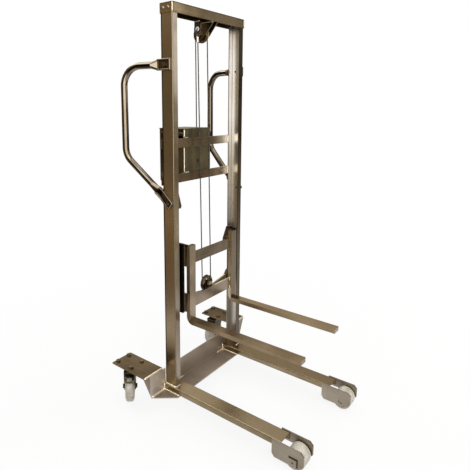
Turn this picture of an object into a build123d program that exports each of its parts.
from build123d import *
import os
from math import acos, atan2, ceil, cos, hypot, pi, radians, sin, sqrt, tan

# A hand winch stacker: a mast of two channels on two legs, with a winch whose wire rope lifts a carriage with
# two forks. It is drawn about the mast: X = 0 is the middle plane, Y = 0 the front of the uprights and Z = 0
# the floor. The forks point along -Y. Sizes are millimetres.

# Mast: two channels with their open sides inward, under a cap beam
MAST_HALF = 235.0
CHANNEL_DEPTH = 58.0
CHANNEL_FLANGE = 28.0
CHANNEL_WALL = 4.0
CHANNEL_BEND_R = 3.0
BEAM_HALF = 238.0
BEAM_BOTTOM = 1578.0
BEAM_TOP = 1615.0
BEAM_WALL = 4.0
BEAM_CORNER_R = 6.0
BEAM_EDGE_R = 2.0
SCREW_Y = (17.0, 42.0)
SCREW_Z = 1596.0
SCREW_D = 6.0
SCREW_LENGTH = 9.0
CROSSBAR_Z = (950.0, 1093.5)
CROSSBAR_HEIGHT = 36.0
CROSSBAR_THICK = 8.0
BAR_EDGE_R = 1.0

# Base: a flat plate under the legs, an upright web behind them and two wings over the casters
LEG_INNER = 178.0
LEG_OUTER = 243.0
LEG_BOTTOM = 60.0
LEG_TOP = 85.0
LEG_FRONT = -493.0
LEG_WALL = 2.5
LEG_CORNER_R = 4.0
LEG_CUT = 80.0
BASE_THICK = 6.0
BASE_FRONT = -24.0
BASE_FRONT_HALF = 251.0
BASE_REAR_HALF = 320.0
BASE_CORNER_R = 6.0
WEB_THICK = 5.0
WEB_DIP = 7.0
WING_INNER = 256.0
WING_OUTER = 362.0
WING_REAR = 252.0
WING_BOTTOM = 157.0
WING_THICK = 5.0
WING_BEND_R = 4.0
WING_CORNER_R = 3.0

# Front rollers between two plates at the end of each leg
ROLLER_R = 37.0
ROLLER_Y = -542.0
ROLLER_WIDTH = 58.0
ROLLER_AXLE_R = 8.0
AXLE_RECESS = 3.0
BRACKET_THICK = 6.0
BRACKET_FRONT = -582.0
BRACKET_REAR = -460.0
BRACKET_LOW = 20.0
BRACKET_HIGH = 86.0
BRACKET_NOSE = 12.0
BRACKET_CHIN = 18.0
BRACKET_HEEL = (10.0, 13.0)
BRACKET_RELIEF = (45.0, 29.0)
KEEPER = (4.0, 30.0, 28.0)
KEEPER_HOLE_R = 4.0

# Casters: top plate, swivelling yoke and wheel. The angle is where the wheel trails, from +X.
CASTER_X = 308.0
CASTER_Y = 199.0
CASTER_PLATE = (85.0, 105.0, 5.0)
CASTER_PLATE_R = 6.0
CASTER_HOLES = (60.0, 80.0)
CASTER_ANGLE = {"left": 223.0, "right": 185.0}
CASTER_TRAIL = 22.0
RACE_R = 34.0
RACE_GAP = 0.5
WHEEL_R = 62.5
WHEEL_WIDTH = 34.0
WHEEL_HUB = 20.0
WHEEL_AXLE_R = 6.0
AXLE_NUT = (10.5, 6.0)
YOKE_GAP = 20.5
YOKE_THICK = 4.0
YOKE_TOP = 145.5
YOKE_X = (-30.0, 44.0)
YOKE_EDGE_R = 1.2
CROWN_R = 32.0
CROWN_BOTTOM = 133.0
CROWN_TOP = 138.0
BRAKE_R = (66.5, 70.0)
BRAKE_ANGLE = (40.0, 72.0)
BRAKE_WINDOW = (22.0, 110.0, 122.0)

# Handles: bent tube. Each end is pressed into a flat dish, bolted to the outside of the upright.
TUBE_R = 13.5
TUBE_WALL = 2.0
FLAT_THICK = 10.0
DISH_FLOOR = 5.0
DISH_RIM = 5.0
NECK_RIM = 3.0
FOLD_Y = 59.0
HANDLE_X = 280.0
HANDLE_Y = 216.0
HANDLE_TOP = 1394.0
HANDLE_CORNER = 1046.0
HANDLE_LOW = 898.0
HANDLE_BEND = 75.0
TOP_BOLT_Y = 37.0
LOW_BOLT_BACK = 48.0
VENT_R = 3.0
VENT_AT = 110.0

# Winch: two plates, a drum and a pair of gears on axes that run front to back
ROPE_R = 2.5
WINCH_X = -6.0
DRUM_Z = 1082.0
DRUM_PITCH_R = 36.0
DRUM_FLANGE_R = 52.0
DRUM_FLANGE = 4.0
DRUM_HUB_R = 16.0
DRUM_AXLE_R = 10.0
DRUM_FRONT = 74.0
DRUM_REAR = 172.0
DRUM_HOLES = (23.0, 4.5)
CLAMP_HEIGHT = 10.0
GEAR_MODULE = 2.0
GEAR_TEETH = 60
PINION_TEETH = 12
GEAR_REAR = 192.0
GEAR_HOLES = (36.0, 9.0)
GEAR_BACKLASH = 0.6
PRESSURE_ANGLE = 20.0
WINCH_LEFT = -93.0
WINCH_RIGHT = 82.0
WINCH_LOW = 934.0
WINCH_TOP = 1147.0
WINCH_PLATE = 6.0
WINCH_FLANGE = (5.0, 160.0, 972.0, 1071.0)
COVER_THICK = 3.0
COVER_CORNER_R = 3.0
COVER_SLOT = (8.0, 84.0, 176.0)
REAR_PLATE_Y = 204.0
REAR_PLATE_X = (-88.0, 55.0)
REAR_PLATE_LOW = 918.0
REAR_PLATE_R = 8.0
SPACER_SPOTS = ((-54.0, 948.0), (42.0, 948.0), (-75.0, 1132.0), (45.0, 1132.0))
SPACER_R = 7.0
SPACER_SCREW_R = 4.0
WINCH_BOLT_X = (-76.0, 66.0)
SHAFT_R = 8.0
SHAFT_COLLARS = ((74.0, 80.0, 12.0), (196.0, 202.0, 12.0), (213.0, 219.0, 30.0), (222.0, 228.0, 30.0))
SHAFT_NUT = (12.0, 6.0)
CRANK_REACH = 250.0
CRANK_ANGLE = 18.5
CRANK_FRONT = 238.0
CRANK_REAR = 246.0
CRANK_WIDE = 16.0
CRANK_NARROW = 12.0
CRANK_EDGE_R = 1.5
CRANK_BOSS = (230.0, 250.0, 14.0)
GRIP_R = 13.0
GRIP_FRONT = 249.5
GRIP_REAR = 335.0
PIN_R = 5.0
PIN_HEAD = (0.5, 5.0, 8.0)

# Rope and sheaves: up from the drum, over the top sheave, under the carriage sheave, up to the lug
ROPE_X = WINCH_X + DRUM_PITCH_R
WINDING_TURNS = 3.5
WINDING_PITCH = 5.5
WINDING_LAST_Y = 100.0
TOP_SHEAVE_Y = 74.0
TOP_SHEAVE_Z = 1537.0
TOP_SHEAVE_R = 31.0
TOP_SHEAVE_HALF = 8.0
FALL_START = 22.0
CARRIAGE_SHEAVE_Y = 22.0
CARRIAGE_SHEAVE_Z = 467.0
CARRIAGE_SHEAVE_R = 30.0
CARRIAGE_SHEAVE_HALF = 7.5
SHEAVE_AXLE_R = 8.0
SHEAVE_WEB = (1.5, 13.0, 24.5)
SHEAVE_HOLES = (5, 18.8, 5.2)
SHEAVE_NUT = (13.5, 7.0)
CHEEK_THICK = 5.0
CHEEK_GAP = 11.0
CHEEK_AXLE_END = 24.0
LUG_X = -28.0
LUG_Y = 46.0
LUG_THICK = 6.0
LUG_BOTTOM_R = 16.0
LUG_ROUND_Z = 1548.0
LUG_HOLE_R = 6.5
EYE_R = 10.0
EYE_CLEAR = 0.8
FERRULE_TOP = 1519.0
FERRULE_BOTTOM = 1495.0
FERRULE_WALL = 1.5

# Carriage and forks
FORK_INNER = 130.0
FORK_OUTER = 168.0
FORK_THICK = 18.0
FORK_FRONT = -22.0
FORK_BOTTOM = 347.0
FORK_TOP = 683.0
FORK_TIP = -520.0
FORK_HEEL_R = 30.0
FORK_EDGE_R = 1.0
BAR_THICK = 8.0
UPPER_BAR = (601.0, 649.0)
LOWER_BAR = (409.0, 460.0)
BAR_HOLE = (12.0, 415.0, 4.0)
SIDE_PLATE = 6.0
SIDE_FRONT = -14.0
SIDE_REAR = 56.0
SIDE_NOSE = 20.0
SIDE_PLATES = ((400.0, 480.0, 45.0), (596.0, 689.0, 60.0))
GUIDE_BAR_THICK = 13.0
GUIDE_BAR_Y = (1.0, 21.0)
GUIDE_BAR_Z = (397.0, 692.0)
GUIDE_BAR_R = 1.5
GUIDE_ROLLER_Z = {"lower": 440.0, "upper": 640.0}
GUIDE_ROLLER_R = 24.7
GUIDE_ROLLER_X = (209.0, 229.0)
GUIDE_CHAMFER = 1.5
GUIDE_AXLE_R = 7.0
GUIDE_COLLAR = (195.0, 208.0, 11.0)
GUIDE_HEAD = (229.4, 230.4, 10.0)
CROSSPLATE_Y = (36.0, 42.0)
CROSSPLATE_Z = (405.0, 429.0, 454.0)
STRAP_HALF = 12.0
STRAP_FRONT = 7.0
STRAP_SHEET = 5.0
STRAP_FLOOR = 6.0
SHEAVE_BOLT_HEAD = 8.0

# Fits and fasteners
RUNNING_GAP = 0.05
GROOVE_GAP = 0.3
M10_R = 5.0
M10_HEAD_R = 9.8
M10_HEAD_H = 6.4

SIDES = (("left", -1), ("right", 1))
GUIDE_Y = CHANNEL_DEPTH / 2
MAST_BACK = CHANNEL_DEPTH
CROSSBAR_BACK = MAST_BACK + CROSSBAR_THICK
WINCH_FRONT = CROSSBAR_BACK + WINCH_PLATE
GEAR_PITCH_R = GEAR_MODULE * GEAR_TEETH / 2
PINION_PITCH_R = GEAR_MODULE * PINION_TEETH / 2
CRANK_Z = DRUM_Z - GEAR_PITCH_R - PINION_PITCH_R
REAR_PLATE_BACK = REAR_PLATE_Y + WINCH_PLATE
CAP_INSIDE = BEAM_TOP - BEAM_WALL

pieces = {}


def facing_front(y):
    """A sketch plane at depth y: sketch x is X, sketch y is Z, and extrude runs towards the front."""
    return Plane.XZ.offset(-y)


def facing_right(x):
    """A sketch plane at X = x: sketch x is Y, sketch y is Z, and extrude runs towards +X."""
    return Plane.YZ.offset(x)


def block(x, y, z, mode=Mode.ADD):
    """A box between two limits along each axis, joined to the part that is being made."""
    spans = [sorted(span) for span in (x, y, z)]
    with Locations(tuple(sum(span) / 2 for span in spans)):
        Box(*[high - low for low, high in spans], mode=mode)


def rod(start, end, radius, mode=Mode.ADD):
    """A round bar from one point to another, joined to the part that is being made."""
    run = Vector(*end) - Vector(*start)
    middle = (Vector(*start) + Vector(*end)) / 2
    plane = Plane(origin=middle, z_dir=run)
    with Locations(plane.location):
        Cylinder(radius, run.length, mode=mode)


def both_ways(half):
    """A whole outline of (distance along the axis, radius) from its positive half, bore first."""
    return [(-along, radius) for along, radius in half] + list(reversed(half))


def turned(center, along, outline):
    """A solid of revolution. The outline is points of (distance along the axis, radius)."""
    across = (0, 0, 1) if abs(along[2]) < 0.5 else (1, 0, 0)
    plane = Plane(origin=center, x_dir=along, z_dir=across)
    with BuildPart() as body:
        with BuildSketch(plane):
            with BuildLine():
                Polyline(*outline, close=True)
            make_face()
        revolve(axis=Axis(center, along))
    return body.part


def hex_bolt(spot, inward, length):
    """An M10 hex bolt with its head standing on spot and its shank running inward."""
    with BuildPart() as bolt:
        with BuildSketch(Plane(origin=spot, z_dir=inward)):
            Circle(M10_R)
        extrude(amount=length)
        with BuildSketch(Plane(origin=spot, z_dir=inward)):
            RegularPolygon(M10_HEAD_R, 6)
        extrude(amount=-M10_HEAD_H)
    return bolt.part


def sheave(center, along, pitch_r, half_width):
    """A grooved rope wheel on a plain bore, with a rim, a hub and a thin web that has a ring of holes."""
    rim_r = pitch_r + 2 * ROPE_R
    groove_r = ROPE_R + GROOVE_GAP
    hub = half_width + 1
    web, hub_r, web_r = SHEAVE_WEB
    hole_count, hole_circle_r, hole_r = SHEAVE_HOLES
    side = [
        (hub, SHEAVE_AXLE_R + RUNNING_GAP), (hub, hub_r - 0.5), (web, hub_r), (web, web_r), (half_width, web_r + 1),
        (half_width, rim_r - 1), (half_width - 1, rim_r), (groove_r, pitch_r),
    ]
    outline = both_ways(side)
    across = (0, 0, 1) if abs(along[2]) < 0.5 else (1, 0, 0)
    with BuildPart() as wheel:
        with BuildSketch(Plane(origin=center, x_dir=along, z_dir=across)):
            with BuildLine():
                Polyline(*outline[len(side):], *outline[:len(side)])
                ThreePointArc((groove_r, pitch_r), (0, pitch_r - groove_r), (-groove_r, pitch_r))
            make_face()
        revolve(axis=Axis(center, along))
        with BuildSketch(Plane(origin=center, z_dir=along)):
            with PolarLocations(hole_circle_r, hole_count):
                Circle(hole_r)
        extrude(amount=half_width, both=True, mode=Mode.SUBTRACT)
    return wheel.part


# Uprights, with holes for the beam screws and the handle bolts
FLAT_X = MAST_HALF + FLAT_THICK / 2
SPLAY = atan2(HANDLE_X - FLAT_X, HANDLE_Y - FOLD_Y)
HANDLE_REACH = hypot(HANDLE_X - FLAT_X, HANDLE_Y - FOLD_Y)
LOW_RUN = Vector(HANDLE_REACH, HANDLE_CORNER - HANDLE_LOW, 0).normalized()
HANDLE_BOLTS = (
    (TOP_BOLT_Y, HANDLE_TOP),
    (FOLD_Y - LOW_BOLT_BACK * LOW_RUN.X, HANDLE_LOW - LOW_BOLT_BACK * LOW_RUN.Y),
)
for side, sign in SIDES:
    outer = sign * MAST_HALF
    lip = sign * (MAST_HALF - CHANNEL_FLANGE)
    web_inside = sign * (MAST_HALF - CHANNEL_WALL)
    with BuildPart() as upright:
        with BuildSketch(Plane.XY.offset(LEG_TOP)):
            with BuildLine():
                Polyline((lip, 0), (outer, 0), (outer, CHANNEL_DEPTH), (lip, CHANNEL_DEPTH),
                         (lip, CHANNEL_DEPTH - CHANNEL_WALL), (web_inside, CHANNEL_DEPTH - CHANNEL_WALL),
                         (web_inside, CHANNEL_WALL), (lip, CHANNEL_WALL), close=True)
            make_face()
        extrude(amount=CAP_INSIDE - LEG_TOP)
        fillet(upright.edges().filter_by(Axis.Z).group_by(Axis.X)[min(0, -sign)], CHANNEL_BEND_R)
        for y in SCREW_Y:
            rod((outer, y, SCREW_Z), (web_inside, y, SCREW_Z), SCREW_D / 2, Mode.SUBTRACT)
        for y, z in HANDLE_BOLTS:
            rod((outer, y, z), (web_inside, y, z), M10_R, Mode.SUBTRACT)
    pieces[f"{side}_upright"] = upright.part

with BuildPart() as top_beam:
    block((-BEAM_HALF, BEAM_HALF), (-BEAM_WALL, CHANNEL_DEPTH + BEAM_WALL), (BEAM_BOTTOM, BEAM_TOP))
    fillet(top_beam.edges().filter_by(Axis.Z), BEAM_CORNER_R)
    fillet(top_beam.faces().sort_by(Axis.Z)[-1].edges(), BEAM_EDGE_R)
    block((-MAST_HALF, MAST_HALF), (0, CHANNEL_DEPTH), (BEAM_BOTTOM, CAP_INSIDE), Mode.SUBTRACT)
    for y in SCREW_Y:
        rod((-BEAM_HALF, y, SCREW_Z), (BEAM_HALF, y, SCREW_Z), SCREW_D / 2, Mode.SUBTRACT)
pieces["top_beam"] = top_beam.part

screw_outline = [
    (-SCREW_LENGTH, 0), (-SCREW_LENGTH, SCREW_D / 2), (0, SCREW_D / 2), (0, 5.5), (2, 5.5), (3.5, 4),
    (4, 1.5), (4, 0),
]
screws = [
    turned((sign * BEAM_HALF, y, SCREW_Z), (sign, 0, 0), screw_outline)
    for _, sign in SIDES
    for y in SCREW_Y
]
with BuildPart() as beam_screws:
    add(screws)
pieces["beam_screws"] = beam_screws.part

with BuildPart() as crossbars:
    for z in CROSSBAR_Z:
        half = CROSSBAR_HEIGHT / 2
        block((-MAST_HALF, MAST_HALF), (MAST_BACK, CROSSBAR_BACK), (z - half, z + half))
    fillet(crossbars.edges().filter_by(Axis.X), BAR_EDGE_R)
    for x in WINCH_BOLT_X:
        for z in CROSSBAR_Z:
            rod((x, MAST_BACK, z), (x, CROSSBAR_BACK, z), M10_R, Mode.SUBTRACT)
pieces["crossbars"] = crossbars.part

# Base plates and legs
BASE_BOTTOM = LEG_BOTTOM - BASE_THICK
with BuildPart() as base_bottom_plate:
    with BuildSketch(Plane.XY.offset(BASE_BOTTOM)):
        Polygon((-BASE_FRONT_HALF, BASE_FRONT), (BASE_FRONT_HALF, BASE_FRONT), (BASE_REAR_HALF, MAST_BACK),
                (-BASE_REAR_HALF, MAST_BACK), align=None)
    extrude(amount=BASE_THICK)
    fillet(base_bottom_plate.edges().filter_by(Axis.Z).group_by(Axis.Y)[0], BASE_CORNER_R)
pieces["base_bottom_plate"] = base_bottom_plate.part

with BuildPart() as base_web:
    with BuildSketch(facing_front(MAST_BACK + WEB_THICK)):
        Polygon((-BASE_REAR_HALF, BASE_BOTTOM), (BASE_REAR_HALF, BASE_BOTTOM), (WING_OUTER, WING_BOTTOM),
                (WING_INNER, WING_BOTTOM), (WING_INNER, WING_BOTTOM - WEB_DIP),
                (-WING_INNER, WING_BOTTOM - WEB_DIP), (-WING_INNER, WING_BOTTOM), (-WING_OUTER, WING_BOTTOM),
                align=None)
    extrude(amount=WEB_THICK)
pieces["base_web"] = base_web.part

CASTER_BOLTS = [
    (sign * CASTER_X + dx * CASTER_HOLES[0] / 2, CASTER_Y + dy * CASTER_HOLES[1] / 2)
    for _, sign in SIDES
    for dx in (-1, 1)
    for dy in (-1, 1)
]
WING_TOP = WING_BOTTOM + WING_THICK
with BuildPart() as wing_plates:
    for _, sign in SIDES:
        block((sign * WING_INNER, sign * WING_OUTER), (MAST_BACK, WING_REAR), (WING_BOTTOM, WING_TOP))
    fillet(wing_plates.edges().filter_by(Axis.Z).group_by(Axis.Y)[-1], WING_CORNER_R)
    fillet(wing_plates.edges().filter_by(Axis.X).group_by(Axis.Z)[-1].group_by(Axis.Y)[0], WING_BEND_R)
    for x, y in CASTER_BOLTS:
        rod((x, y, WING_BOTTOM), (x, y, WING_TOP), M10_R, Mode.SUBTRACT)
pieces["wing_plates"] = wing_plates.part

# Each leg is a flat tube. Its lower wall stops short of the front end, behind the roller.
leg_width = LEG_OUTER - LEG_INNER
leg_height = LEG_TOP - LEG_BOTTOM
leg_center = (LEG_INNER + LEG_OUTER) / 2
for side, sign in SIDES:
    with BuildPart() as leg:
        with BuildSketch(facing_front(MAST_BACK)):
            with Locations((sign * leg_center, (LEG_BOTTOM + LEG_TOP) / 2)):
                RectangleRounded(leg_width, leg_height, LEG_CORNER_R)
                RectangleRounded(leg_width - 2 * LEG_WALL, leg_height - 2 * LEG_WALL, LEG_CORNER_R - LEG_WALL,
                                 mode=Mode.SUBTRACT)
        extrude(amount=MAST_BACK - LEG_FRONT)
        block((sign * (LEG_INNER + LEG_CORNER_R), sign * (LEG_OUTER - LEG_CORNER_R)),
              (LEG_FRONT, LEG_FRONT + LEG_CUT), (LEG_BOTTOM, LEG_BOTTOM + LEG_WALL), Mode.SUBTRACT)
    pieces[f"{side}_leg"] = leg.part

# Front roller plates, axles and rollers. The right plate of each pair is cut away behind its roller.
heel_y, heel_z = BRACKET_HEEL
relief_y, relief_z = BRACKET_RELIEF
bracket_front = (
    (BRACKET_REAR, BRACKET_HIGH), (BRACKET_FRONT + BRACKET_NOSE, BRACKET_HIGH),
    (BRACKET_FRONT, BRACKET_HIGH - BRACKET_NOSE), (BRACKET_FRONT, BRACKET_LOW + BRACKET_CHIN),
    (BRACKET_FRONT + BRACKET_CHIN, BRACKET_LOW),
)
whole_heel = ((BRACKET_REAR - heel_y, BRACKET_LOW), (BRACKET_REAR, BRACKET_LOW + heel_z))
cut_heel = (
    (BRACKET_REAR - relief_y, BRACKET_LOW), (BRACKET_REAR - relief_y, BRACKET_LOW + relief_z),
    (BRACKET_REAR, BRACKET_LOW + relief_z),
)
with BuildPart() as roller_plates:
    for _, sign in SIDES:
        for inside in (LEG_INNER - BRACKET_THICK, LEG_OUTER):
            left_face = min(sign * inside, sign * (inside + BRACKET_THICK))
            heel = cut_heel if left_face > sign * leg_center else whole_heel
            with BuildSketch(facing_right(left_face)):
                Polygon(*bracket_front, *heel, align=None)
                with Locations((ROLLER_Y, ROLLER_R)):
                    Circle(ROLLER_AXLE_R, mode=Mode.SUBTRACT)
            extrude(amount=BRACKET_THICK)
pieces["roller_plates"] = roller_plates.part

# Each axle is a plain pin with a chamfered inner end and a keeper plate outside
half_span = leg_width / 2 + BRACKET_THICK
pin_end = half_span - AXLE_RECESS
pin_outline = [
    (-pin_end, 0), (-pin_end, ROLLER_AXLE_R - 1), (1 - pin_end, ROLLER_AXLE_R), (half_span, ROLLER_AXLE_R),
    (half_span, 0),
]
pins = [turned((sign * leg_center, ROLLER_Y, ROLLER_R), (sign, 0, 0), pin_outline) for _, sign in SIDES]
keeper_thick, keeper_long, keeper_high = KEEPER
keeper_x = leg_center + half_span
with BuildPart() as roller_axles:
    add(pins)
    for _, sign in SIDES:
        outside = sign * (keeper_x + keeper_thick)
        block((sign * keeper_x, outside), (ROLLER_Y - keeper_long / 2, ROLLER_Y + keeper_long / 2),
              (ROLLER_R - keeper_high / 2, ROLLER_R + keeper_high / 2))
        rod((sign * keeper_x, ROLLER_Y, ROLLER_R), (outside, ROLLER_Y, ROLLER_R), KEEPER_HOLE_R,
            Mode.SUBTRACT)
pieces["roller_axles"] = roller_axles.part

half_roller = ROLLER_WIDTH / 2
roller_outline = both_ways([
    (half_roller + 3, ROLLER_AXLE_R + RUNNING_GAP), (half_roller + 3, 15), (half_roller, 17),
    (half_roller - 4, 19), (half_roller - 4, ROLLER_R - 10), (half_roller, ROLLER_R - 8),
    (half_roller, ROLLER_R - 3),
    (half_roller - 1, ROLLER_R - 1), (half_roller - 3, ROLLER_R),
])
for side, sign in SIDES:
    roller_center = (sign * leg_center, ROLLER_Y, ROLLER_R)
    pieces[f"{side}_front_roller"] = turned(roller_center, (1, 0, 0), roller_outline)

# Casters, made with the wheel trailing along +X and then swung about the swivel axis
plate_x, plate_y, plate_thick = CASTER_PLATE
CASTER_TOP = WING_BOTTOM - plate_thick
with BuildPart() as caster_top_plates:
    for _, sign in SIDES:
        with BuildSketch(Plane.XY.offset(CASTER_TOP)):
            with Locations((sign * CASTER_X, CASTER_Y)):
                RectangleRounded(plate_x, plate_y, CASTER_PLATE_R)
        extrude(amount=plate_thick)
        with BuildSketch(Plane.XY.offset(YOKE_TOP + RACE_GAP)):
            with Locations((sign * CASTER_X, CASTER_Y)):
                Circle(RACE_R)
        extrude(amount=CASTER_TOP - YOKE_TOP - RACE_GAP)
    for x, y in CASTER_BOLTS:
        rod((x, y, CASTER_TOP), (x, y, WING_BOTTOM), M10_R, Mode.SUBTRACT)
pieces["caster_top_plates"] = caster_top_plates.part


def round_wheel(radius, degrees):
    """A point beside the caster wheel, as (distance along the trail, height)."""
    return (CASTER_TRAIL + radius * cos(radians(degrees)), WHEEL_R + radius * sin(radians(degrees)))


yoke_half = YOKE_GAP + YOKE_THICK
yoke_lead, yoke_trail = YOKE_X
brake_inside, brake_outside = BRAKE_R
brake_low, brake_high = BRAKE_ANGLE
window_width, window_low, window_high = BRAKE_WINDOW
brake_middle = (brake_low + brake_high) / 2
with BuildPart() as yoke:
    with BuildSketch(Plane.XY.offset(CROWN_TOP)):
        Circle(CROWN_R)
    extrude(amount=YOKE_TOP - CROWN_TOP, taper=8)
    block(YOKE_X, (-yoke_half, yoke_half), (CROWN_BOTTOM, CROWN_TOP))
    for leg_y in (-YOKE_GAP, yoke_half):
        with BuildSketch(facing_front(leg_y)):
            with BuildLine():
                Polyline((CASTER_TRAIL + 15, WHEEL_R + 6), (yoke_trail, CROWN_TOP), (yoke_lead, CROWN_TOP),
                         (yoke_lead + 2, CROWN_BOTTOM - 14), (CASTER_TRAIL - 13, WHEEL_R - 9))
                ThreePointArc((CASTER_TRAIL - 13, WHEEL_R - 9), (CASTER_TRAIL + 4, WHEEL_R - 15.5),
                              (CASTER_TRAIL + 15, WHEEL_R + 6))
            make_face()
        extrude(amount=YOKE_THICK)
    rod((CASTER_TRAIL, -yoke_half, WHEEL_R), (CASTER_TRAIL, yoke_half, WHEEL_R), WHEEL_AXLE_R, Mode.SUBTRACT)
    fillet(yoke.faces().sort_by(Axis.Y)[0].edges().filter_by(GeomType.LINE), YOKE_EDGE_R)
    fillet(yoke.faces().sort_by(Axis.Y)[-1].edges().filter_by(GeomType.LINE), YOKE_EDGE_R)

# The brake shoe: a curved plate behind the wheel's upper quarter, with a window in it
with BuildPart() as brake_shoe:
    with BuildSketch(facing_front(YOKE_GAP)):
        with BuildLine():
            ThreePointArc(round_wheel(brake_inside, brake_low), round_wheel(brake_inside, brake_middle),
                          round_wheel(brake_inside, brake_high))
            Polyline(round_wheel(brake_inside, brake_high), (yoke_trail - 12, CROWN_BOTTOM),
                     (yoke_trail, CROWN_BOTTOM), round_wheel(brake_outside, brake_high))
            ThreePointArc(round_wheel(brake_outside, brake_high), round_wheel(brake_outside, brake_middle),
                          round_wheel(brake_outside, brake_low))
            Line(round_wheel(brake_outside, brake_low), round_wheel(brake_inside, brake_low))
        make_face()
    extrude(amount=2 * YOKE_GAP)
    block((CASTER_TRAIL, CASTER_TRAIL + WHEEL_R), (-window_width / 2, window_width / 2),
          (window_low, window_high), Mode.SUBTRACT)

nut_r, nut_high = AXLE_NUT
with BuildPart() as caster_axle:
    rod((CASTER_TRAIL, -yoke_half, WHEEL_R), (CASTER_TRAIL, yoke_half, WHEEL_R), WHEEL_AXLE_R)
    for outward in (-1, 1):
        with BuildSketch(Plane(origin=(CASTER_TRAIL, outward * yoke_half, WHEEL_R), z_dir=(0, outward, 0))):
            RegularPolygon(nut_r, 6)
        extrude(amount=nut_high)

half_wheel = WHEEL_WIDTH / 2
wheel_outline = both_ways([
    (WHEEL_HUB, WHEEL_AXLE_R + RUNNING_GAP), (WHEEL_HUB, 16), (half_wheel - 3, 18), (half_wheel - 5, 22),
    (half_wheel - 5, 44), (half_wheel, 48), (half_wheel, WHEEL_R - 8), (half_wheel - 2, WHEEL_R - 3.5),
    (half_wheel - 6, WHEEL_R - 0.8), (half_wheel - 10, WHEEL_R),
])
wheel = turned((CASTER_TRAIL, 0, WHEEL_R), (0, 1, 0), wheel_outline)

for side, sign in SIDES:
    swing = Location((sign * CASTER_X, CASTER_Y, 0), (0, 0, CASTER_ANGLE[side]))
    solids = [made.part.solid().moved(swing) for made in (yoke, brake_shoe, caster_axle)]
    pieces[f"{side}_caster_yoke"] = Compound(solids)
    pieces[f"{side}_caster_wheel"] = wheel.moved(swing)

# Handles: one bent tube each. An end is given by its height, the way it runs, its width, where the flat neck ends
# and the tube is round, and the length of the dish on the upright. The dish runs on over the fold into the neck.
HANDLE_ENDS = (
    (HANDLE_TOP, Vector(1, 0, 0), 42.0, 9.0, 36.0, 54.0),
    (HANDLE_LOW, LOW_RUN, 34.0, 26.0, 60.0, 64.0),
)
for side, sign in SIDES:
    outward = Vector(sign * sin(SPLAY), cos(SPLAY), 0)
    across_plane = outward.cross(Vector(0, 0, 1))
    splayed = Plane(origin=(sign * FLAT_X, FOLD_Y, 0), x_dir=outward, z_dir=across_plane)
    starts = [(run.X * round_at, z + run.Y * round_at) for z, run, _, _, round_at, _ in HANDLE_ENDS]
    with BuildPart() as handle:
        with BuildLine(splayed) as tube_path:
            FilletPolyline(starts[0], (HANDLE_REACH, HANDLE_TOP), (HANDLE_REACH, HANDLE_CORNER), starts[1],
                           radius=HANDLE_BEND)
        with BuildSketch(Plane(origin=tube_path.line @ 0, z_dir=tube_path.line % 0)):
            Circle(TUBE_R)
            Circle(TUBE_R - TUBE_WALL, mode=Mode.SUBTRACT)
        sweep()
        for z, run, width, flat_at, round_at, length in HANDLE_ENDS:
            across = Vector(-run.Y, run.X, 0)
            fold = width / 2 / run.X
            run_3d = splayed.x_dir * run.X + Vector(0, 0, 1) * run.Y
            near = Vector(0, z, 0) + run * flat_at
            far = Vector(0, z, 0) + run * round_at
            flat_center = splayed.from_local_coords(near)
            round_center = splayed.from_local_coords(far)
            with BuildSketch(Plane(origin=flat_center, x_dir=across_plane, z_dir=run_3d)):
                Ellipse(FLAT_THICK / 2, width / 2)
            with BuildSketch(Plane(origin=round_center, x_dir=across_plane, z_dir=run_3d)):
                Circle(TUBE_R)
            loft()
            with BuildSketch(splayed):
                Polygon((0, z - fold), near - across * width / 2, near + across * width / 2, (0, z + fold),
                        align=None)
            extrude(amount=FLAT_THICK / 2, both=True)
            rod((sign * FLAT_X, FOLD_Y, z - fold), (sign * FLAT_X, FOLD_Y, z + fold), FLAT_THICK / 2)
            tip = Vector(FOLD_Y, z, 0) - run * length
            with BuildSketch(facing_right(sign * FLAT_X)):
                Polygon((FOLD_Y, z - fold), tip - across * width / 2, tip + across * width / 2,
                        (FOLD_Y, z + fold), align=None)
            extrude(amount=FLAT_THICK / 2, both=True)
            inset = across * (width / 2 - DISH_RIM)
            fold_inset = (width / 2 - DISH_RIM) / run.X
            dish_end = tip + run * DISH_RIM
            with BuildSketch(facing_right(sign * (MAST_HALF + DISH_FLOOR))):
                Polygon((FOLD_Y, z - fold_inset), dish_end - inset, dish_end + inset, (FOLD_Y, z + fold_inset),
                        align=None)
            extrude(amount=sign * FLAT_THICK, mode=Mode.SUBTRACT)
            neck_end = near - run * NECK_RIM
            with BuildSketch(splayed):
                Polygon((0, z - fold_inset), neck_end - inset, neck_end + inset, (0, z + fold_inset),
                        align=None)
            extrude(amount=sign * FLAT_THICK, mode=Mode.SUBTRACT)
        vent = Vector(0, HANDLE_LOW, 0) + LOW_RUN * VENT_AT
        below = vent + Vector(LOW_RUN.Y, -LOW_RUN.X, 0) * 2 * TUBE_R
        vent_from, vent_to = [tuple(splayed.from_local_coords(point)) for point in (vent, below)]
        rod(vent_from, vent_to, VENT_R, Mode.SUBTRACT)
        for y, z in HANDLE_BOLTS:
            rod((sign * MAST_HALF, y, z), (sign * (MAST_HALF + FLAT_THICK), y, z), M10_R, Mode.SUBTRACT)
    pieces[f"{side}_handle"] = handle.part

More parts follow.
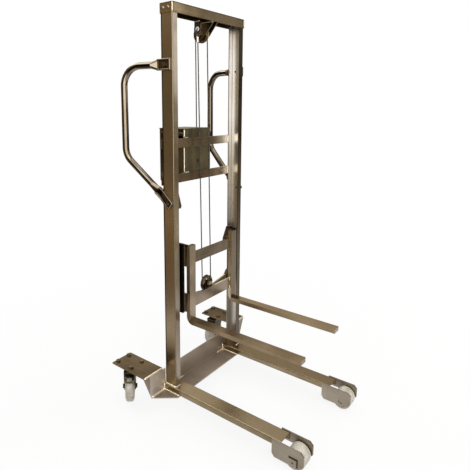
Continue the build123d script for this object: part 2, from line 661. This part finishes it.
# Hex bolts of the handles, the winch and the casters
bolts = [
    hex_bolt((sign * (MAST_HALF + DISH_FLOOR), y, z), (-sign, 0, 0), DISH_FLOOR + CHANNEL_WALL)
    for _, sign in SIDES
    for y, z in HANDLE_BOLTS
]
bolts += [
    hex_bolt((x, WINCH_FRONT, z), (0, -1, 0), WINCH_PLATE + CROSSBAR_THICK)
    for x in WINCH_BOLT_X
    for z in CROSSBAR_Z
]
bolts += [hex_bolt((x, y, WING_TOP), (0, 0, -1), WING_THICK + plate_thick) for x, y in CASTER_BOLTS]
with BuildPart() as frame_bolts:
    add(bolts)
pieces["frame_bolts"] = frame_bolts.part

# Sheave cheeks, axle and sheave at the top of the mast
CHEEK_OUTLINE = (
    (0, CAP_INSIDE), (0, BEAM_BOTTOM - 1), (40, TOP_SHEAVE_Z - 7), (60, TOP_SHEAVE_Z - 25),
    (88, TOP_SHEAVE_Z - 25), (100, TOP_SHEAVE_Z - 7), (100, TOP_SHEAVE_Z + 25), (88, BEAM_BOTTOM - 1),
    (CHANNEL_DEPTH, BEAM_BOTTOM - 1), (CHANNEL_DEPTH, CAP_INSIDE),
)
with BuildPart() as sheave_cheeks:
    for x in (ROPE_X - CHEEK_GAP - CHEEK_THICK, ROPE_X + CHEEK_GAP):
        with BuildSketch(facing_right(x)):
            Polygon(*CHEEK_OUTLINE, align=None)
            with Locations((TOP_SHEAVE_Y, TOP_SHEAVE_Z)):
                Circle(SHEAVE_AXLE_R, mode=Mode.SUBTRACT)
        extrude(amount=CHEEK_THICK)
pieces["sheave_cheeks"] = sheave_cheeks.part

top_center = (ROPE_X, TOP_SHEAVE_Y, TOP_SHEAVE_Z)
nut_r, nut_high = SHEAVE_NUT
with BuildPart() as top_sheave_axle:
    rod((ROPE_X - CHEEK_AXLE_END, TOP_SHEAVE_Y, TOP_SHEAVE_Z),
        (ROPE_X + CHEEK_AXLE_END, TOP_SHEAVE_Y, TOP_SHEAVE_Z), SHEAVE_AXLE_R)
    for outward in (-1, 1):
        nut_x = ROPE_X + outward * (CHEEK_GAP + CHEEK_THICK)
        with BuildSketch(Plane(origin=(nut_x, TOP_SHEAVE_Y, TOP_SHEAVE_Z), z_dir=(outward, 0, 0))):
            RegularPolygon(nut_r, 6)
        extrude(amount=nut_high)
pieces["top_sheave_axle"] = top_sheave_axle.part
pieces["top_sheave"] = sheave(top_center, (1, 0, 0), TOP_SHEAVE_R, TOP_SHEAVE_HALF)

# Lug, rope eye and ferrule at the dead end of the rope. The eye hangs in the lug's hole.
lug_front = LUG_Y - LUG_BOTTOM_R
lug_back = LUG_Y + LUG_BOTTOM_R
with BuildPart() as rope_lug:
    with BuildSketch(facing_right(LUG_X - LUG_THICK / 2)):
        with BuildLine():
            Polyline((lug_front, LUG_ROUND_Z), (lug_front, CAP_INSIDE), (CHANNEL_DEPTH, CAP_INSIDE),
                     (CHANNEL_DEPTH, BEAM_BOTTOM - 1), (lug_back, BEAM_BOTTOM - 1), (lug_back, LUG_ROUND_Z))
            ThreePointArc((lug_back, LUG_ROUND_Z), (LUG_Y, LUG_ROUND_Z - LUG_BOTTOM_R),
                          (lug_front, LUG_ROUND_Z))
        make_face()
        with Locations((LUG_Y, LUG_ROUND_Z)):
            Circle(LUG_HOLE_R, mode=Mode.SUBTRACT)
    extrude(amount=LUG_THICK)
pieces["rope_lug"] = rope_lug.part

EYE_TOP = LUG_ROUND_Z - LUG_HOLE_R + ROPE_R + EYE_CLEAR
EYE_SIDE = EYE_TOP - EYE_R
STRAND = ROPE_R + 0.2
EYE_NECK = FERRULE_TOP + 2 * ROPE_R
bow_x = (STRAND + EYE_R) / 2
bow_z = (EYE_NECK + EYE_SIDE) / 2
with BuildPart() as eye_loop:
    with BuildLine() as eye_path:
        foot = Line((LUG_X - STRAND, LUG_Y, FERRULE_TOP), (LUG_X - STRAND, LUG_Y, EYE_NECK))
        rise = TangentArc(foot @ 1, (LUG_X - bow_x, LUG_Y, bow_z), tangent=foot % 1)
        swell = TangentArc(rise @ 1, (LUG_X - EYE_R, LUG_Y, EYE_SIDE), tangent=rise % 1)
        crown = ThreePointArc(swell @ 1, (LUG_X, LUG_Y, EYE_TOP), (LUG_X + EYE_R, LUG_Y, EYE_SIDE))
        fall = TangentArc(crown @ 1, (LUG_X + bow_x, LUG_Y, bow_z), tangent=crown % 1)
        close_in = TangentArc(fall @ 1, (LUG_X + STRAND, LUG_Y, EYE_NECK), tangent=fall % 1)
        Line(close_in @ 1, (LUG_X + STRAND, LUG_Y, FERRULE_TOP))
    with BuildSketch(Plane(origin=eye_path.line @ 0, z_dir=eye_path.line % 0)):
        Circle(ROPE_R)
    sweep()
with BuildPart() as ferrule:
    with BuildSketch(Plane.XY.offset(FERRULE_BOTTOM)):
        with Locations((LUG_X, LUG_Y)):
            SlotCenterToCenter(2 * STRAND, 2 * (ROPE_R + FERRULE_WALL))
    extrude(amount=FERRULE_TOP - FERRULE_BOTTOM)
    fillet(ferrule.edges().filter_by(Plane.XY), 1)
pieces["rope_eye"] = Compound([eye_loop.part.solid(), ferrule.part.solid()])

# Winch plates, cover, spacers and axle. The base plate has a bent flange on its left side.
flange_thick, flange_back, flange_low, flange_high = WINCH_FLANGE
with BuildPart() as winch_base_plate:
    with BuildSketch(facing_front(WINCH_FRONT)):
        with Locations(((WINCH_LEFT + WINCH_RIGHT) / 2, (WINCH_LOW + WINCH_TOP) / 2)):
            Rectangle(WINCH_RIGHT - WINCH_LEFT, WINCH_TOP - WINCH_LOW)
        with Locations((WINCH_X, DRUM_Z)):
            Circle(DRUM_AXLE_R, mode=Mode.SUBTRACT)
        with Locations((WINCH_X, CRANK_Z)):
            Circle(SHAFT_R + RUNNING_GAP, mode=Mode.SUBTRACT)
        with Locations([(x, z) for x in WINCH_BOLT_X for z in CROSSBAR_Z]):
            Circle(M10_R, mode=Mode.SUBTRACT)
        with Locations(SPACER_SPOTS):
            Circle(SPACER_SCREW_R, mode=Mode.SUBTRACT)
    extrude(amount=WINCH_PLATE)
    block((WINCH_LEFT, WINCH_LEFT + flange_thick), (WINCH_FRONT, flange_back), (flange_low, flange_high))
pieces["winch_base_plate"] = winch_base_plate.part

with BuildPart() as winch_rear_plate:
    with BuildSketch(facing_front(REAR_PLATE_BACK)):
        with Locations((sum(REAR_PLATE_X) / 2, (REAR_PLATE_LOW + WINCH_TOP) / 2)):
            Rectangle(REAR_PLATE_X[1] - REAR_PLATE_X[0], WINCH_TOP - REAR_PLATE_LOW)
        with Locations((WINCH_X, DRUM_Z)):
            Circle(DRUM_AXLE_R, mode=Mode.SUBTRACT)
        with Locations((WINCH_X, CRANK_Z)):
            Circle(SHAFT_R + RUNNING_GAP, mode=Mode.SUBTRACT)
        with Locations(SPACER_SPOTS):
            Circle(SPACER_SCREW_R, mode=Mode.SUBTRACT)
    extrude(amount=WINCH_PLATE)
    fillet(winch_rear_plate.edges().filter_by(Axis.Y).group_by(Axis.Z)[0], REAR_PLATE_R)
pieces["winch_rear_plate"] = winch_rear_plate.part

slot_half, slot_front, slot_back = COVER_SLOT
COVER_TOP = WINCH_TOP + COVER_THICK
with BuildPart() as winch_top_cover:
    block((WINCH_LEFT, WINCH_RIGHT), (CROSSBAR_BACK, REAR_PLATE_BACK), (WINCH_TOP, COVER_TOP))
    fillet(winch_top_cover.edges().filter_by(Axis.Z), COVER_CORNER_R)
    block((ROPE_X - slot_half, ROPE_X + slot_half), (slot_front, slot_back), (WINCH_TOP, COVER_TOP),
          Mode.SUBTRACT)
pieces["winch_top_cover"] = winch_top_cover.part

nut_back = REAR_PLATE_BACK + WINCH_PLATE
spacer_outline = [
    (CROSSBAR_BACK, 0), (CROSSBAR_BACK, SPACER_SCREW_R), (WINCH_FRONT, SPACER_SCREW_R),
    (WINCH_FRONT, SPACER_R), (REAR_PLATE_Y, SPACER_R), (REAR_PLATE_Y, SPACER_SCREW_R),
    (REAR_PLATE_BACK, SPACER_SCREW_R),
    (REAR_PLATE_BACK, SPACER_R + 0.5), (nut_back, SPACER_R + 0.5), (nut_back, SPACER_SCREW_R),
    (nut_back + 2, SPACER_SCREW_R), (nut_back + 2, 0),
]
spacers = [turned((x, 0, z), (0, 1, 0), spacer_outline) for x, z in SPACER_SPOTS]
with BuildPart() as winch_spacers:
    add(spacers)
pieces["winch_spacers"] = winch_spacers.part

pieces["drum_axle"] = turned((WINCH_X, 0, DRUM_Z), (0, 1, 0), [
    (CROSSBAR_BACK, 0), (CROSSBAR_BACK, DRUM_AXLE_R), (REAR_PLATE_BACK, DRUM_AXLE_R), (REAR_PLATE_BACK, 15),
    (REAR_PLATE_BACK + 3, 15), (REAR_PLATE_BACK + 3, 8), (nut_back, 7), (nut_back, 0),
])

# Drum: a tube between flanges on a bored hub, with a clamp block for the rope's end
CORE_R = DRUM_PITCH_R - ROPE_R - 0.15
DRUM_BORE = DRUM_AXLE_R + RUNNING_GAP
WINDING_FIRST_Y = WINDING_LAST_Y - WINDING_TURNS * WINDING_PITCH
drum_inside = DRUM_FRONT + DRUM_FLANGE
drum_outside = DRUM_REAR - DRUM_FLANGE
hole_circle_r, hole_r = DRUM_HOLES
with BuildPart() as rope_drum:
    with BuildSketch(Plane(origin=(WINCH_X, 0, DRUM_Z), x_dir=(0, 1, 0), z_dir=(0, 0, 1))):
        Polygon((DRUM_FRONT, DRUM_BORE), (DRUM_FRONT, DRUM_FLANGE_R), (drum_inside, DRUM_FLANGE_R),
                (drum_inside, CORE_R), (drum_outside, CORE_R), (drum_outside, DRUM_FLANGE_R),
                (DRUM_REAR, DRUM_FLANGE_R), (DRUM_REAR, DRUM_BORE), align=None)
        Polygon((drum_inside, DRUM_HUB_R), (drum_inside, CORE_R - DRUM_FLANGE),
                (drum_outside, CORE_R - DRUM_FLANGE), (drum_outside, DRUM_HUB_R), align=None,
                mode=Mode.SUBTRACT)
    revolve(axis=Axis((WINCH_X, 0, DRUM_Z), (0, 1, 0)))
    with BuildSketch(facing_front(drum_inside)):
        with Locations((WINCH_X, DRUM_Z)):
            with PolarLocations(hole_circle_r, 4, start_angle=45):
                Circle(hole_r)
    extrude(amount=DRUM_FLANGE, mode=Mode.SUBTRACT)
    clamp_low = DRUM_Z + 2 * ROPE_R
    block((WINCH_X - DRUM_PITCH_R - 4, WINCH_X - CORE_R + 2), (drum_inside - 1, WINDING_FIRST_Y + 3),
          (clamp_low, clamp_low + CLAMP_HEIGHT))
pieces["rope_drum"] = rope_drum.part


def tooth(teeth):
    """Half a tooth's flank as (radius, half angle) pairs: an involute at the pressure angle."""
    pitch_r = GEAR_MODULE * teeth / 2
    base_r = pitch_r * cos(radians(PRESSURE_ANGLE))
    tip_r = pitch_r + 0.7 * GEAR_MODULE
    root_r = pitch_r - GEAR_MODULE

    def involute(r):
        angle = acos(min(1, base_r / r))
        return tan(angle) - angle

    start_r = max(base_r, root_r)
    radii = [start_r + (tip_r - start_r) * i / 4 for i in range(5)]
    half_pitch = (pi * GEAR_MODULE / 2 - GEAR_BACKLASH) / 2 / pitch_r
    flank = [(r, half_pitch + involute(pitch_r) - involute(r)) for r in radii]
    flank.insert(0, (root_r - 0.5, flank[0][1]))
    upper = [(r * cos(a), r * sin(a)) for r, a in flank]
    return upper + [(x, -y) for x, y in reversed(upper)]


def gear_outline(teeth, turn):
    """A gear's face: a root disc with a tooth at each step, added to the sketch that is being made."""
    Circle(GEAR_MODULE * teeth / 2 - GEAR_MODULE)
    with PolarLocations(0, teeth, start_angle=turn):
        Polygon(*tooth(teeth), align=None)


hole_circle_r, hole_r = GEAR_HOLES
with BuildPart() as drum_gear:
    with BuildSketch(facing_front(GEAR_REAR)):
        with Locations((WINCH_X, DRUM_Z)):
            gear_outline(GEAR_TEETH, 0)
            Circle(DRUM_BORE, mode=Mode.SUBTRACT)
            with PolarLocations(hole_circle_r, 5):
                Circle(hole_r, mode=Mode.SUBTRACT)
    extrude(amount=GEAR_REAR - DRUM_REAR)
pieces["drum_gear"] = drum_gear.part

# Winding: one helix on the drum. Each quarter turn is two arcs with the helix's own ends and tangents.
CLIMB = WINDING_PITCH / 2 / pi


def on_drum(angle):
    """A point of the winding. Angle 0 is where the rope leaves the drum upwards."""
    return Vector(WINCH_X + DRUM_PITCH_R * cos(angle), WINDING_LAST_Y + CLIMB * angle,
                  DRUM_Z + DRUM_PITCH_R * sin(angle))


def along_drum(angle):
    """The direction of the winding at that point."""
    return Vector(-DRUM_PITCH_R * sin(angle), CLIMB, DRUM_PITCH_R * cos(angle)).normalized()


quarters = ceil(4 * WINDING_TURNS)
angles = [-2 * pi * WINDING_TURNS * (1 - i / quarters) for i in range(quarters + 1)]
with BuildPart() as drum_winding:
    with BuildLine() as winding_path:
        Line(on_drum(angles[0]) - along_drum(angles[0]) * 2 * ROPE_R, on_drum(angles[0]))
        for start, end in zip(angles[:-1], angles[1:]):
            step = on_drum(end) - on_drum(start)
            t_start, t_end = along_drum(start), along_drum(end)
            lean = step.dot(t_start + t_end)
            bend = 2 * (1 - t_start.dot(t_end))
            arm = (sqrt(lean * lean + bend * step.dot(step)) - lean) / bend
            joint = (on_drum(start) + t_start * arm + on_drum(end) - t_end * arm) / 2
            first = TangentArc(on_drum(start), joint, tangent=t_start)
            TangentArc(joint, on_drum(end), tangent=first % 1)
        Line(on_drum(0), on_drum(0) + along_drum(0) * 2 * ROPE_R)
    with BuildSketch(Plane(origin=winding_path.line @ 0, z_dir=winding_path.line % 0)):
        Circle(ROPE_R)
    sweep()
pieces["drum_winding"] = drum_winding.part

SAMPLES_PER_TURN = 60
count = int(SAMPLES_PER_TURN * WINDING_TURNS)
points = [winding_path.wire().position_at(i / count) for i in range(count + 1)]
half_turn = SAMPLES_PER_TURN // 2
apart = min((p - q).length for i, p in enumerate(points) for q in points[i + half_turn:])
print(f"winding: {WINDING_TURNS} turns, least gap to itself {apart - 2 * ROPE_R:.2f} mm")

# Crank: a shaft with the pinion, an arm, and a grip that spins on the arm's pin
nut_r, nut_high = SHAFT_NUT
boss_front, boss_back, boss_r = CRANK_BOSS
with BuildPart() as crank_shaft:
    rod((WINCH_X, CROSSBAR_BACK + 1, CRANK_Z), (WINCH_X, boss_back + 1, CRANK_Z), SHAFT_R)
    for front, back, radius in SHAFT_COLLARS:
        rod((WINCH_X, front, CRANK_Z), (WINCH_X, back, CRANK_Z), radius)
    with BuildSketch(facing_front(GEAR_REAR + 1)):
        with Locations((WINCH_X, CRANK_Z)):
            gear_outline(PINION_TEETH, 180 / PINION_TEETH)
    extrude(amount=GEAR_REAR - DRUM_REAR + 2)
    with BuildSketch(facing_front(boss_back + nut_high)):
        with Locations((WINCH_X, CRANK_Z)):
            RegularPolygon(nut_r, 6)
    extrude(amount=nut_high)
pieces["crank_shaft"] = crank_shaft.part

crank_run = Vector(sin(radians(CRANK_ANGLE)), -cos(radians(CRANK_ANGLE)), 0)
crank_side = Vector(-crank_run.Y, crank_run.X, 0)
crank_hub = Vector(WINCH_X, CRANK_Z, 0)
crank_end = crank_hub + crank_run * CRANK_REACH
pin_clear, pin_end, pin_head_r = PIN_HEAD
with BuildPart() as crank_arm:
    with BuildSketch(facing_front(CRANK_REAR)):
        with BuildLine():
            Line(crank_hub - crank_side * CRANK_WIDE, crank_end - crank_side * CRANK_NARROW)
            Line(crank_hub + crank_side * CRANK_WIDE, crank_end + crank_side * CRANK_NARROW)
            ThreePointArc(crank_end - crank_side * CRANK_NARROW, crank_end + crank_run * CRANK_NARROW,
                          crank_end + crank_side * CRANK_NARROW)
            ThreePointArc(crank_hub - crank_side * CRANK_WIDE, crank_hub - crank_run * CRANK_WIDE,
                          crank_hub + crank_side * CRANK_WIDE)
        make_face()
    extrude(amount=CRANK_REAR - CRANK_FRONT)
    fillet(crank_arm.edges().filter_by(Plane.XZ), CRANK_EDGE_R)
    rod((WINCH_X, boss_front, CRANK_Z), (WINCH_X, boss_back, CRANK_Z), boss_r)
    rod((WINCH_X, boss_front, CRANK_Z), (WINCH_X, boss_back, CRANK_Z), SHAFT_R, Mode.SUBTRACT)
    rod((crank_end.X, CRANK_FRONT, crank_end.Y), (crank_end.X, GRIP_REAR + pin_end, crank_end.Y), PIN_R)
    rod((crank_end.X, GRIP_REAR + pin_clear, crank_end.Y), (crank_end.X, GRIP_REAR + pin_end, crank_end.Y),
        pin_head_r)
pieces["crank_arm"] = crank_arm.part

grip_length = GRIP_REAR - GRIP_FRONT
grip_outline = [
    (0, PIN_R + RUNNING_GAP), (0, GRIP_R - 2), (1.5, GRIP_R - 0.5), (4, GRIP_R), (12, GRIP_R - 1.5),
    (grip_length / 2, GRIP_R), (grip_length - 12, GRIP_R - 1.5), (grip_length - 4, GRIP_R),
    (grip_length - 1.5, GRIP_R - 0.5), (grip_length, GRIP_R - 2), (grip_length, PIN_R + RUNNING_GAP),
]
pieces["crank_grip"] = turned((crank_end.X, GRIP_FRONT, crank_end.Y), (0, 1, 0), grip_outline)

# Rope falls: each is a round bar with level ends, leaning from one tangent point to the next
top_front = (ROPE_X, TOP_SHEAVE_Y - TOP_SHEAVE_R, TOP_SHEAVE_Z)
top_back = (ROPE_X, TOP_SHEAVE_Y + TOP_SHEAVE_R, TOP_SHEAVE_Z)
low_left = (-CARRIAGE_SHEAVE_R, CARRIAGE_SHEAVE_Y, CARRIAGE_SHEAVE_Z)
low_right = (CARRIAGE_SHEAVE_R, CARRIAGE_SHEAVE_Y, CARRIAGE_SHEAVE_Z)
lean = (top_back[1] - WINDING_LAST_Y) / (TOP_SHEAVE_Z - DRUM_Z)
FALLS = {
    "rope_winch_fall": ((ROPE_X, WINDING_LAST_Y + lean * FALL_START, DRUM_Z + FALL_START), top_back),
    "rope_front_fall": (low_right, top_front),
    "rope_rear_fall": (low_left, (LUG_X, LUG_Y, FERRULE_BOTTOM)),
}
for name, (foot, head) in FALLS.items():
    run = Vector(*head) - Vector(*foot)
    with BuildPart() as rope_fall:
        with BuildSketch(Plane.XY.offset(foot[2])):
            with Locations(foot[:2]):
                Circle(ROPE_R)
        extrude(amount=run.length, dir=run)
    pieces[name] = rope_fall.part

with BuildPart() as rope_over_sheave:
    with BuildLine():
        ThreePointArc(top_back, (ROPE_X, TOP_SHEAVE_Y, TOP_SHEAVE_Z + TOP_SHEAVE_R), top_front)
    with BuildSketch(Plane.XY.offset(TOP_SHEAVE_Z)):
        with Locations(top_back[:2]):
            Circle(ROPE_R)
    sweep()
pieces["rope_over_sheave"] = rope_over_sheave.part

with BuildPart() as rope_under_sheave:
    with BuildLine():
        ThreePointArc(low_left, (0, CARRIAGE_SHEAVE_Y, CARRIAGE_SHEAVE_Z - CARRIAGE_SHEAVE_R), low_right)
    with BuildSketch(Plane.XY.offset(CARRIAGE_SHEAVE_Z)):
        with Locations(low_left[:2]):
            Circle(ROPE_R)
    sweep()
pieces["rope_under_sheave"] = rope_under_sheave.part

# Forks: an upright and an arm each, mitred at the heel
FORK_BACK = FORK_FRONT + FORK_THICK
ARM_TOP = FORK_BOTTOM + FORK_THICK
heel = (FORK_BACK - FORK_HEEL_R, FORK_BOTTOM + FORK_HEEL_R)


def on_heel(degrees):
    """A point of the rounded heel, from 0 at its back to 90 at its underside."""
    return (heel[0] + FORK_HEEL_R * cos(radians(degrees)), heel[1] - FORK_HEEL_R * sin(radians(degrees)))


for side, sign in SIDES:
    near_x = min(sign * FORK_INNER, sign * FORK_OUTER)
    with BuildPart() as fork_upright:
        with BuildSketch(facing_right(near_x)):
            with BuildLine():
                Polyline(on_heel(45), (FORK_FRONT, ARM_TOP), (FORK_FRONT, FORK_TOP), (FORK_BACK, FORK_TOP),
                         on_heel(0))
                ThreePointArc(on_heel(0), on_heel(22.5), on_heel(45))
            make_face()
        extrude(amount=FORK_OUTER - FORK_INNER)
        fillet(fork_upright.edges().filter_by(Axis.Z), FORK_EDGE_R)
    pieces[f"{side}_fork_upright"] = fork_upright.part
    with BuildPart() as fork_arm:
        with BuildSketch(facing_right(near_x)):
            with BuildLine():
                Polyline(on_heel(45), (FORK_FRONT, ARM_TOP), (FORK_TIP, ARM_TOP), (FORK_TIP, FORK_BOTTOM),
                         on_heel(90))
                ThreePointArc(on_heel(90), on_heel(67.5), on_heel(45))
            make_face()
        extrude(amount=FORK_OUTER - FORK_INNER)
        fillet(fork_arm.faces().sort_by(Axis.Y)[0].edges(), FORK_EDGE_R)
    pieces[f"{side}_fork_arm"] = fork_arm.part

bar_front = FORK_BACK - BAR_THICK
with BuildPart() as upper_carriage_bar:
    block((-FORK_INNER, FORK_INNER), (bar_front, FORK_BACK), UPPER_BAR)
    fillet(upper_carriage_bar.edges().filter_by(Axis.X), BAR_EDGE_R)
pieces["upper_carriage_bar"] = upper_carriage_bar.part

hole_x, hole_z, hole_r = BAR_HOLE
with BuildPart() as lower_carriage_bar:
    block((-FORK_INNER, FORK_INNER), (bar_front, FORK_BACK), LOWER_BAR)
    fillet(lower_carriage_bar.edges().filter_by(Axis.X), BAR_EDGE_R)
    rod((hole_x, bar_front, hole_z), (hole_x, FORK_BACK, hole_z), hole_r, Mode.SUBTRACT)
pieces["lower_carriage_bar"] = lower_carriage_bar.part

# Carriage sides: plates that carry the guide roller axles, and an upright bar outside them
SIDE_OUTSIDE = FORK_OUTER + SIDE_PLATE
with BuildPart() as roller_side_plates:
    for _, sign in SIDES:
        for low, high, cut in SIDE_PLATES:
            with BuildSketch(facing_right(min(sign * FORK_OUTER, sign * SIDE_OUTSIDE))):
                Polygon((SIDE_FRONT, low), (SIDE_REAR, low), (SIDE_REAR, high - cut),
                        (SIDE_REAR - SIDE_NOSE, high), (SIDE_FRONT, high), align=None)
                with Locations([(GUIDE_Y, z) for z in GUIDE_ROLLER_Z.values() if low < z < high]):
                    Circle(GUIDE_AXLE_R, mode=Mode.SUBTRACT)
            extrude(amount=SIDE_PLATE)
pieces["roller_side_plates"] = roller_side_plates.part

with BuildPart() as guide_bars:
    for _, sign in SIDES:
        block((sign * SIDE_OUTSIDE, sign * (SIDE_OUTSIDE + GUIDE_BAR_THICK)), GUIDE_BAR_Y, GUIDE_BAR_Z)
    fillet(guide_bars.edges().filter_by(Axis.Z), GUIDE_BAR_R)
pieces["guide_bars"] = guide_bars.part

collar_in, collar_out, collar_r = GUIDE_COLLAR
head_in, head_out, head_r = GUIDE_HEAD
guide_axle_outline = [
    (FORK_OUTER, 0), (FORK_OUTER, GUIDE_AXLE_R), (collar_in, GUIDE_AXLE_R), (collar_in, collar_r),
    (collar_out, collar_r), (collar_out, GUIDE_AXLE_R), (head_in, GUIDE_AXLE_R), (head_in, head_r),
    (head_out, head_r), (head_out, 0),
]
guide_axles = [
    turned((0, GUIDE_Y, z), (sign, 0, 0), guide_axle_outline)
    for _, sign in SIDES
    for z in GUIDE_ROLLER_Z.values()
]
with BuildPart() as guide_roller_axles:
    add(guide_axles)
pieces["guide_roller_axles"] = guide_roller_axles.part

guide_bore = GUIDE_AXLE_R + RUNNING_GAP
guide_in, guide_out = GUIDE_ROLLER_X
guide_edge = GUIDE_ROLLER_R - GUIDE_CHAMFER
guide_outline = [
    (guide_in, guide_bore), (guide_in, guide_edge), (guide_in + GUIDE_CHAMFER, GUIDE_ROLLER_R),
    (guide_out - GUIDE_CHAMFER, GUIDE_ROLLER_R), (guide_out, guide_edge), (guide_out, guide_bore),
]
for side, sign in SIDES:
    for level, z in GUIDE_ROLLER_Z.items():
        pieces[f"{level}_{side}_guide_roller"] = turned((0, GUIDE_Y, z), (sign, 0, 0), guide_outline)

# Carriage sheave, hung in a strap on a cross plate with a dipped top edge
cross_front, cross_back = CROSSPLATE_Y
cross_low, cross_dip, cross_high = CROSSPLATE_Z
with BuildPart() as sheave_crossplate:
    with BuildSketch(facing_front(cross_back)):
        Polygon((-FORK_OUTER, cross_low), (FORK_OUTER, cross_low), (FORK_OUTER, cross_high), (0, cross_dip),
                (-FORK_OUTER, cross_high), align=None)
    extrude(amount=cross_back - cross_front)
pieces["sheave_crossplate"] = sheave_crossplate.part

with BuildPart() as sheave_bracket:
    for back in (STRAP_FRONT + STRAP_SHEET, cross_front):
        with BuildSketch(facing_front(back)):
            with BuildLine():
                Polyline((-STRAP_HALF, CARRIAGE_SHEAVE_Z), (-STRAP_HALF, cross_low), (STRAP_HALF, cross_low),
                         (STRAP_HALF, CARRIAGE_SHEAVE_Z))
                ThreePointArc((STRAP_HALF, CARRIAGE_SHEAVE_Z), (0, CARRIAGE_SHEAVE_Z + STRAP_HALF),
                              (-STRAP_HALF, CARRIAGE_SHEAVE_Z))
            make_face()
        extrude(amount=STRAP_SHEET)
    block((-STRAP_HALF, STRAP_HALF), (STRAP_FRONT, cross_front), (cross_low, cross_low + STRAP_FLOOR))
    rod((0, STRAP_FRONT, CARRIAGE_SHEAVE_Z), (0, cross_front, CARRIAGE_SHEAVE_Z), SHEAVE_AXLE_R,
        Mode.SUBTRACT)
pieces["sheave_bracket"] = sheave_bracket.part

nut_r, nut_high = SHEAVE_NUT
bolt_end = cross_front + SHEAVE_BOLT_HEAD
with BuildPart() as sheave_bolt:
    rod((0, STRAP_FRONT, CARRIAGE_SHEAVE_Z), (0, bolt_end, CARRIAGE_SHEAVE_Z), SHEAVE_AXLE_R)
    for back in (STRAP_FRONT, bolt_end):
        with BuildSketch(facing_front(back)):
            with Locations((0, CARRIAGE_SHEAVE_Z)):
                RegularPolygon(nut_r, 6)
        extrude(amount=SHEAVE_BOLT_HEAD)
pieces["sheave_bolt"] = sheave_bolt.part
carriage_center = (0, CARRIAGE_SHEAVE_Y, CARRIAGE_SHEAVE_Z)
pieces["carriage_sheave"] = sheave(carriage_center, (0, 1, 0), CARRIAGE_SHEAVE_R, CARRIAGE_SHEAVE_HALF)

# The origin of the written pieces is on the floor, under the middle of the whole box
whole = Compound(list(pieces.values())).bounding_box()
shift = Location((-round(whole.center().X, 2), -round(whole.center().Y, 2), 0))
print(f"shift {shift.position.X:.2f} {shift.position.Y:.2f}, size {whole.size}")
os.makedirs("parts", exist_ok=True)
for name, piece in pieces.items():
    placed = piece.moved(shift)
    placed.label = name
    export_step(placed, f"parts/{name}.step")
